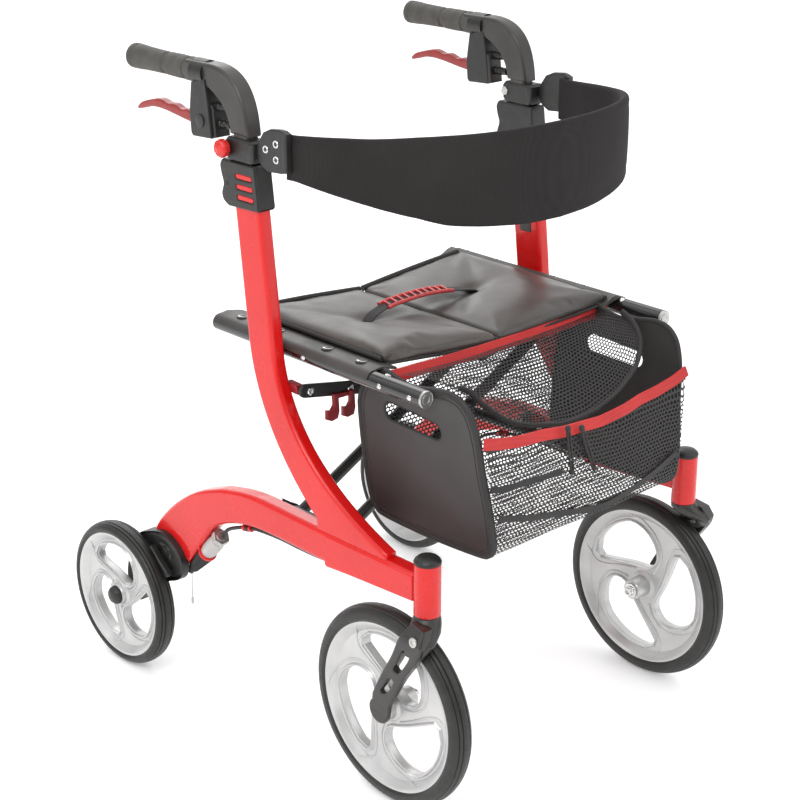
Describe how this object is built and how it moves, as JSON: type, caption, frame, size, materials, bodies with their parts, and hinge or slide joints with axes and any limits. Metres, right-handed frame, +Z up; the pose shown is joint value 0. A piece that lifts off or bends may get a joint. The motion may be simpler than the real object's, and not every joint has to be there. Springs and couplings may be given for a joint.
{
  "type": "rollator walker",
  "caption": "Side-folding rollator walker: red oval-tube side frames, caster front wheels, padded seat, storage bag, backrest band and height-adjustable braked handles.",
  "frame": {"origin": "on the floor under the middle of the walker's bounding box", "axes": "+X to the user's left, +Y from the front casters to the rear wheels and the user, +Z up"},
  "size_m": [0.5838, 0.7314, 0.854],
  "materials": {
    "frame_red": "gloss",
    "black_metal": "satin",
    "black_plastic": "satin",
    "graphite": "satin",
    "grip_rubber": "matte",
    "lever_red": "satin",
    "red_plastic": "gloss",
    "rim_grey": "satin",
    "tyre": "matte",
    "steel": "satin",
    "anchor_grey": "satin",
    "cable_black": "satin",
    "seat_fabric": "matte",
    "bag_fabric": "matte",
    "band_fabric": "matte",
    "strap_fabric": "matte"
  },
  "bodies": {
    "side_frame_r": {"lower_beam_r": "frame_red", "upright_tube_r": "frame_red", "head_tube_r": "frame_red", "head_cap_r": "black_plastic", "height_collar_r": "black_plastic", "post_clamp_r": "black_plastic", "backrest_plate_r": "black_plastic", "cross_bracket_r": "black_metal", "rear_hub_housing_r": "black_plastic", "cable_anchor_r": "anchor_grey", "brake_cable_r": "cable_black"},
    "side_frame_l": {"lower_beam_l": "frame_red", "upright_tube_l": "frame_red", "head_tube_l": "frame_red", "head_cap_l": "black_plastic", "height_collar_l": "black_plastic", "post_clamp_l": "black_plastic", "backrest_plate_l": "black_plastic", "cross_bracket_l": "black_metal", "rear_hub_housing_l": "black_plastic", "cable_anchor_l": "anchor_grey", "brake_cable_l": "cable_black"},
    "brace_a": {"cross_bars_r": "black_metal", "seat_rail_l": "black_metal", "cross_bolt": "steel"},
    "brace_b": {"cross_bars_l": "black_metal", "seat_rail_r": "black_metal"},
    "seat_half_r": {"seat_pad_r": "seat_fabric", "seat_strap": "strap_fabric"},
    "seat_half_l": {"seat_pad_l": "seat_fabric"},
    "bag_side_r": {"bag_panel_r": "bag_fabric", "bag_body": "bag_fabric"},
    "bag_side_l": {"bag_panel_l": "bag_fabric"},
    "link_r": {"stabilizer_link_r": "black_metal", "fold_hook": "red_plastic"},
    "link_l": {"stabilizer_link_l": "black_metal"},
    "back_half_r": {"backrest_r": "band_fabric"},
    "back_half_l": {"backrest_l": "band_fabric"},
    "caster_r": {"caster_fork_r": "black_metal"},
    "front_wheel_r": {"front_tyre_r": "tyre", "front_rim_r": "rim_grey"},
    "rear_wheel_r": {"rear_tyre_r": "tyre", "rear_rim_r": "rim_grey"},
    "handle_r": {"handle_tube_r": "graphite", "hand_grip_r": "grip_rubber", "brake_body_r": "black_plastic"},
    "lever_r": {"brake_lever_r": "lever_red"},
    "shoe_r": {"brake_shoe_r": "black_metal"},
    "knob_r": {"clamp_knob_r": "red_plastic"},
    "caster_l": {"caster_fork_l": "black_metal"},
    "front_wheel_l": {"front_tyre_l": "tyre", "front_rim_l": "rim_grey"},
    "rear_wheel_l": {"rear_tyre_l": "tyre", "rear_rim_l": "rim_grey"},
    "handle_l": {"handle_tube_l": "graphite", "hand_grip_l": "grip_rubber", "brake_body_l": "black_plastic"},
    "lever_l": {"brake_lever_l": "lever_red"},
    "shoe_l": {"brake_shoe_l": "black_metal"},
    "knob_l": {"clamp_knob_l": "red_plastic"}
  },
  "joints": [
    {"name": "fold", "type": "hinge", "parent": "side_frame_r", "child": "brace_a", "pos_m": [-0.2084, -0.0787, 0.3], "axis": [0, -1, 0], "range_deg": [0, 48], "deforming": ["bag_body", "seat_strap"]},
    {"name": "brace_cross", "type": "hinge", "parent": "brace_a", "child": "brace_b", "pos_m": [0, -0.0787, 0.409], "axis": [0, 1, 0], "range_deg": [0, 96]},
    {"name": "frame_link", "type": "hinge", "parent": "brace_b", "child": "side_frame_l", "pos_m": [0.2084, -0.0787, 0.3], "axis": [0, -1, 0], "range_deg": [0, 48]},
    {"name": "seat_rail_turn", "type": "hinge", "parent": "brace_b", "child": "seat_half_r", "pos_m": [-0.2084, -0.0537, 0.518], "axis": [0, -1, 0], "range_deg": [0, 123.65]},
    {"name": "seat_seam", "type": "hinge", "parent": "seat_half_r", "child": "seat_half_l", "pos_m": [0, -0.0537, 0.511], "axis": [0, 1, 0], "range_deg": [0, 151.3]},
    {"name": "bag_hang_r", "type": "hinge", "parent": "brace_b", "child": "bag_side_r", "pos_m": [-0.2084, -0.2387, 0.518], "axis": [0, -1, 0], "range_deg": [0, 48]},
    {"name": "bag_hang_l", "type": "hinge", "parent": "brace_a", "child": "bag_side_l", "pos_m": [0.2084, -0.2387, 0.518], "axis": [0, 1, 0], "range_deg": [0, 48]},
    {"name": "link_turn_r", "type": "hinge", "parent": "side_frame_r", "child": "link_r", "pos_m": [-0.217, -0.0712, 0.4768], "axis": [0, -1, 0], "range_deg": [0, 82.53]},
    {"name": "link_turn_l", "type": "hinge", "parent": "side_frame_l", "child": "link_l", "pos_m": [0.217, -0.0712, 0.4768], "axis": [0, 1, 0], "range_deg": [0, 82.53]},
    {"name": "back_turn_r", "type": "hinge", "parent": "side_frame_r", "child": "back_half_r", "pos_m": [-0.225, -0.0737, 0.768], "axis": [0, 0, -1], "range_deg": [0, 34.83]},
    {"name": "back_flex", "type": "hinge", "parent": "back_half_r", "child": "back_half_l", "pos_m": [0, -0.2657, 0.749], "axis": [0, 0, 1], "range_deg": [0, 69.66]},
    {"name": "caster_swivel_r", "type": "hinge", "parent": "side_frame_r", "child": "caster_r", "pos_m": [-0.2323, -0.2947, 0.265], "axis": [0, 0, 1], "continuous": true},
    {"name": "front_spin_r", "type": "hinge", "parent": "caster_r", "child": "front_wheel_r", "pos_m": [-0.2344, -0.2387, 0.127], "axis": [1, 0, 0], "continuous": true},
    {"name": "rear_spin_r", "type": "hinge", "parent": "side_frame_r", "child": "rear_wheel_r", "pos_m": [-0.2679, 0.2641, 0.1016], "axis": [1, 0, 0], "continuous": true},
    {"name": "handle_height_r", "type": "slide", "parent": "side_frame_r", "child": "handle_r", "axis": [0, 0.1149, 0.9934], "range_m": [0, 0.12]},
    {"name": "lever_squeeze_r", "type": "hinge", "parent": "handle_r", "child": "lever_r", "pos_m": [-0.233, 0.0833, 0.783], "axis": [1, 0, 0], "range_deg": [0, 15], "stiffness_Nm_per_rad": 0.6},
    {"name": "shoe_press_r", "type": "hinge", "parent": "side_frame_r", "child": "shoe_r", "pos_m": [-0.26, 0.1733, 0.16], "axis": [-1, 0, 0], "range_deg": [0, 3.4]},
    {"name": "knob_turn_r", "type": "hinge", "parent": "side_frame_r", "child": "knob_r", "pos_m": [-0.25, 0.0323, 0.76], "axis": [1, 0, 0], "range_deg": [0, 360]},
    {"name": "caster_swivel_l", "type": "hinge", "parent": "side_frame_l", "child": "caster_l", "pos_m": [0.2323, -0.2947, 0.265], "axis": [0, 0, 1], "continuous": true},
    {"name": "front_spin_l", "type": "hinge", "parent": "caster_l", "child": "front_wheel_l", "pos_m": [0.2344, -0.2387, 0.127], "axis": [1, 0, 0], "continuous": true},
    {"name": "rear_spin_l", "type": "hinge", "parent": "side_frame_l", "child": "rear_wheel_l", "pos_m": [0.2679, 0.2641, 0.1016], "axis": [1, 0, 0], "continuous": true},
    {"name": "handle_height_l", "type": "slide", "parent": "side_frame_l", "child": "handle_l", "axis": [0, 0.1149, 0.9934], "range_m": [0, 0.12]},
    {"name": "lever_squeeze_l", "type": "hinge", "parent": "handle_l", "child": "lever_l", "pos_m": [0.233, 0.0833, 0.783], "axis": [1, 0, 0], "range_deg": [0, 15], "stiffness_Nm_per_rad": 0.6},
    {"name": "shoe_press_l", "type": "hinge", "parent": "side_frame_l", "child": "shoe_l", "pos_m": [0.26, 0.1733, 0.16], "axis": [-1, 0, 0], "range_deg": [0, 3.4]},
    {"name": "knob_turn_l", "type": "hinge", "parent": "side_frame_l", "child": "knob_l", "pos_m": [0.25, 0.0323, 0.76], "axis": [1, 0, 0], "range_deg": [0, 360]}
  ],
  "couplings": [
    {"joint": "brace_cross", "follows": "fold", "ratio": 2},
    {"joint": "frame_link", "follows": "fold", "ratio": 1},
    {"joint": "seat_rail_turn", "follows": "fold", "ratio": 2.576},
    {"joint": "seat_seam", "follows": "fold", "ratio": 3.1519},
    {"joint": "bag_hang_r", "follows": "fold", "ratio": 1},
    {"joint": "bag_hang_l", "follows": "fold", "ratio": 1},
    {"joint": "link_turn_r", "follows": "fold", "ratio": 1.7194},
    {"joint": "link_turn_l", "follows": "fold", "ratio": 1.7194},
    {"joint": "back_turn_r", "follows": "fold", "ratio": 0.72557},
    {"joint": "back_flex", "follows": "fold", "ratio": 1.4511},
    {"joint": "shoe_press_r", "follows": "lever_squeeze_r", "ratio": 0.22},
    {"joint": "shoe_press_l", "follows": "lever_squeeze_l", "ratio": 0.22}
  ]
}
